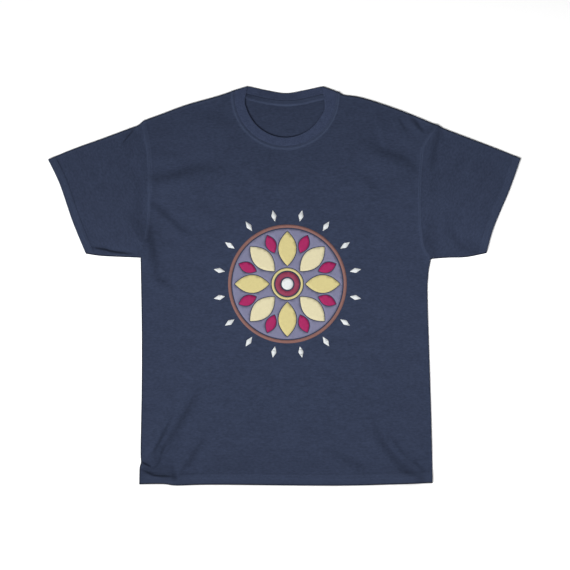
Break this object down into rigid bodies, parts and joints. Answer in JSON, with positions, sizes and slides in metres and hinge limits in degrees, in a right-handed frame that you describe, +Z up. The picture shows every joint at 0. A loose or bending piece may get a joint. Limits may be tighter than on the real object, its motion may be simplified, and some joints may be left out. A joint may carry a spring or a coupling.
{
  "type": "t-shirt",
  "caption": "Short-sleeved crew-neck T-shirt in navy cotton jersey, laid flat with its front up, hollow, with a rib neckband and a printed rosette on the chest.",
  "frame": {"origin": "middle of the shirt's outline, on the surface that its back lies on", "axes": "+Z up out of the chest, +Y from the hem to the neck, +X to the wearer's left"},
  "size_m": [0.9018, 0.7632, 0.0131],
  "materials": {
    "jersey": "matte navy single jersey knit with faint horizontal streaks",
    "rib": "matte navy fine rib knit, folded double",
    "tape": "matte navy jersey tape, slightly lighter than the body",
    "ink_white": "thin soft matte printed ink with the knit showing through",
    "ink_cream": "thin soft matte printed ink with the knit showing through",
    "ink_custard": "thin soft matte printed ink with the knit showing through",
    "ink_berry": "thin soft matte printed ink with the knit showing through",
    "ink_jam": "thin soft matte printed ink with the knit showing through",
    "ink_mauve": "thin soft matte printed ink with the knit showing through",
    "ink_lilac": "thin soft matte printed ink with the knit showing through"
  },
  "bodies": {
    "root": {"body_front": "jersey", "body_back": "jersey", "sleeve_right": "jersey", "sleeve_left": "jersey", "neckband": "rib", "neck_tape": "tape", "print_hub": "ink_white", "print_hub_ring": "ink_jam", "print_inner_ring": "ink_custard", "print_ground": "ink_lilac", "print_outer_ring": "ink_mauve", "print_petal_1": "ink_custard", "print_petal_2": "ink_cream", "print_petal_3": "ink_custard", "print_petal_4": "ink_cream", "print_petal_5": "ink_custard", "print_petal_6": "ink_cream", "print_petal_7": "ink_custard", "print_petal_8": "ink_cream", "print_leaf_1": "ink_berry", "print_leaf_2": "ink_berry", "print_leaf_3": "ink_berry", "print_leaf_4": "ink_berry", "print_leaf_5": "ink_berry", "print_leaf_6": "ink_berry", "print_leaf_7": "ink_berry", "print_leaf_8": "ink_berry", "print_lozenge_1": "ink_white", "print_lozenge_2": "ink_white", "print_lozenge_3": "ink_white", "print_lozenge_4": "ink_white", "print_lozenge_5": "ink_white", "print_lozenge_6": "ink_white", "print_lozenge_7": "ink_white", "print_lozenge_8": "ink_white", "print_lozenge_9": "ink_white", "print_lozenge_10": "ink_white", "print_lozenge_11": "ink_white", "print_lozenge_12": "ink_white", "print_lozenge_13": "ink_white", "print_lozenge_14": "ink_white", "print_lozenge_15": "ink_white", "print_lozenge_16": "ink_white"}
  },
  "joints": []
}
